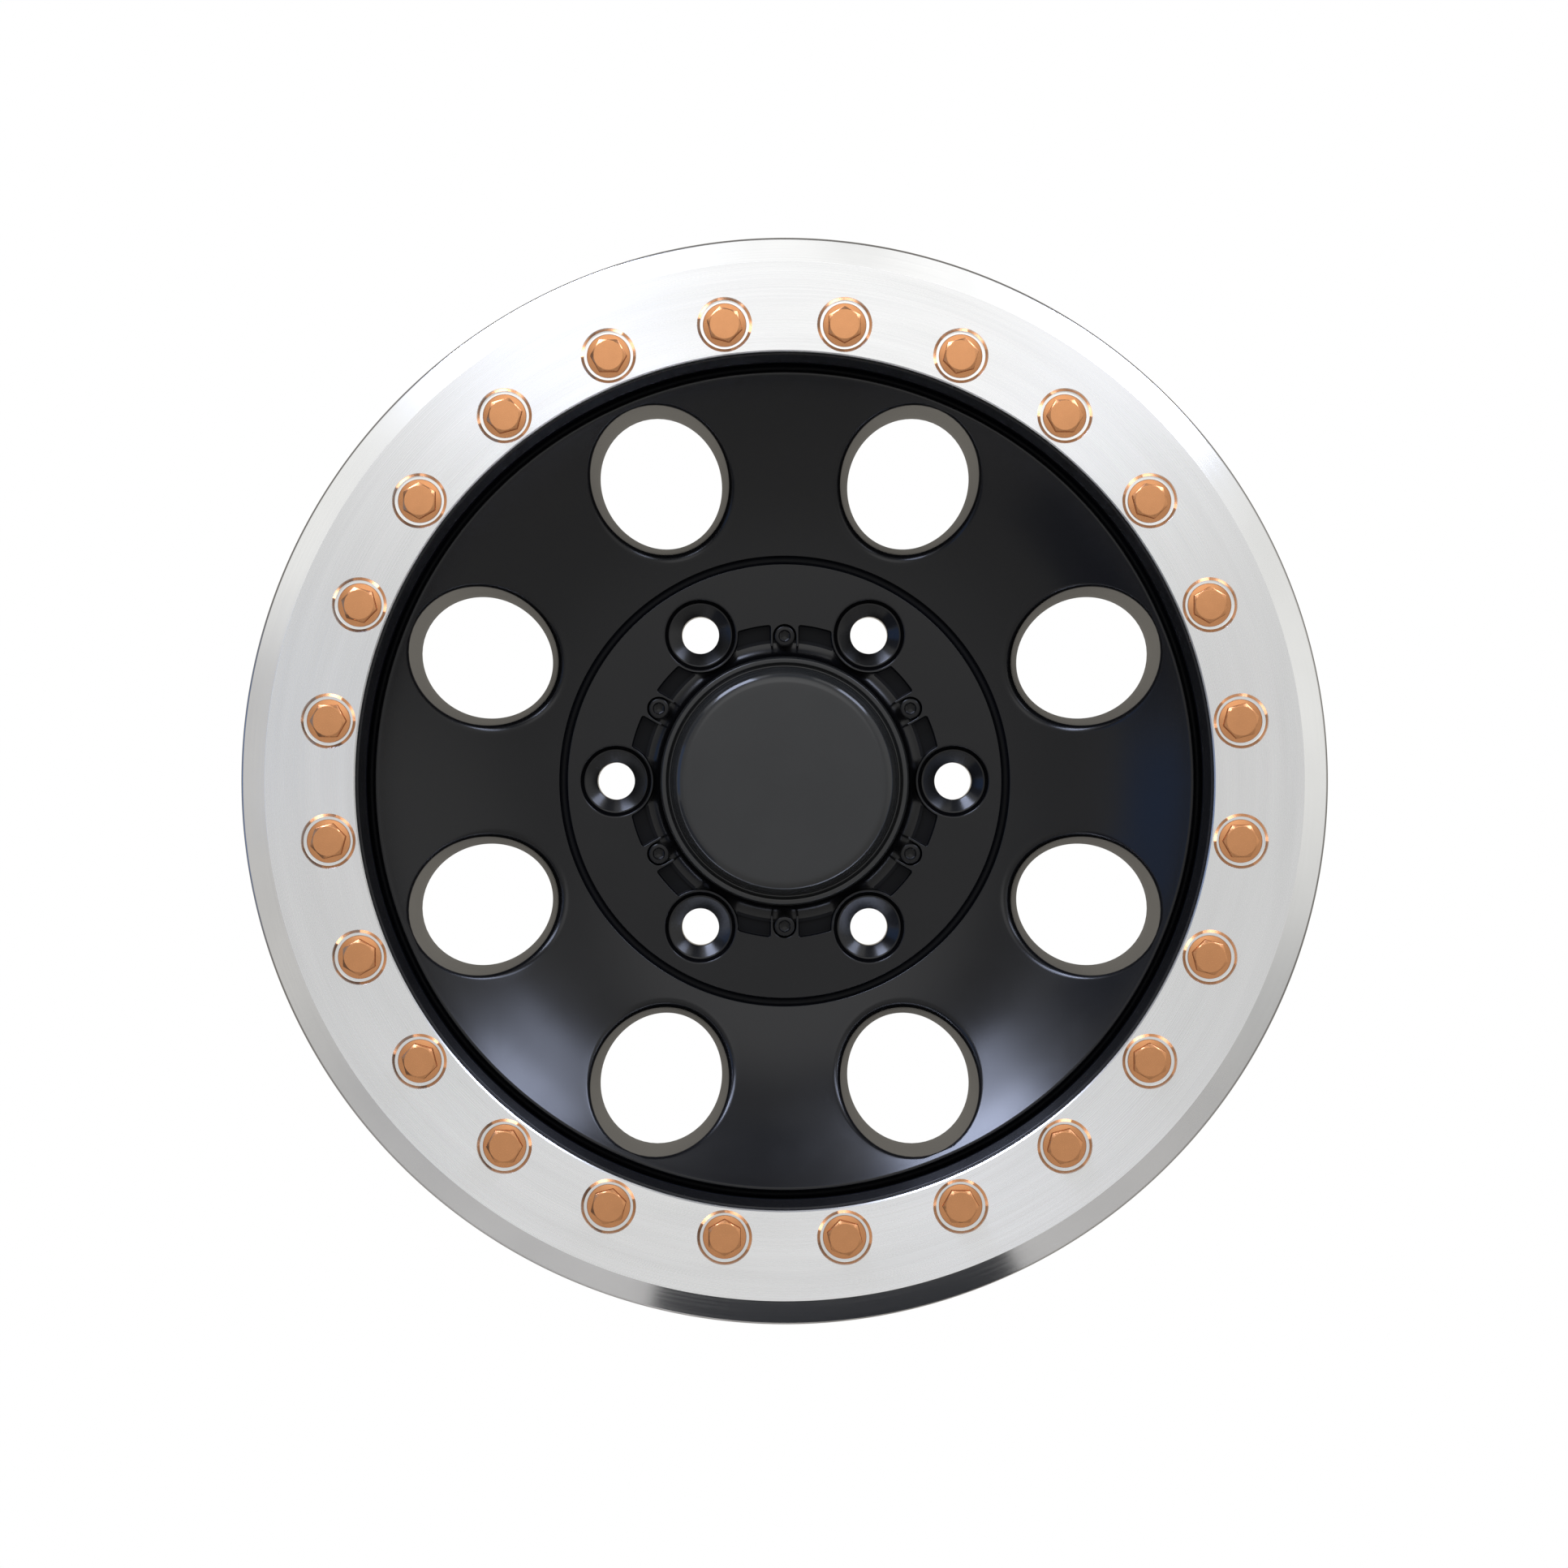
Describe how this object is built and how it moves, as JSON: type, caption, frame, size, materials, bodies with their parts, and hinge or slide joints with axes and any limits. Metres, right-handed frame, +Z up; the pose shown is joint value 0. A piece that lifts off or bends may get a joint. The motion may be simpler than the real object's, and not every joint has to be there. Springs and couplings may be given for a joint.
{
  "type": "beadlock wheel",
  "caption": "Off-road wheel with a dished, round-windowed disc and a bolted outer clamp ring that locks the tyre's bead; bolts to a vehicle hub by lug holes around a screwed-on cap.",
  "frame": {"origin": "centre of the hub mounting face, on the wheel's axis", "axes": "+Y along the axle towards the vehicle, so the outboard face looks along -Y; +Z up; +X to the right as seen from outboard"},
  "size_m": [0.442, 0.2338, 0.442],
  "materials": {
    "satin_black_paint": "satin",
    "machined_aluminium": "satin",
    "copper_plated_steel": "satin",
    "satin_graphite_paint": "satin",
    "black_oxide_steel": "satin"
  },
  "bodies": {
    "root": {"wheel_body": "satin_black_paint", "beadlock_ring": "machined_aluminium", "ring_bolts": "copper_plated_steel", "center_cap": "satin_graphite_paint", "cap_screws": "black_oxide_steel"}
  },
  "joints": []
}
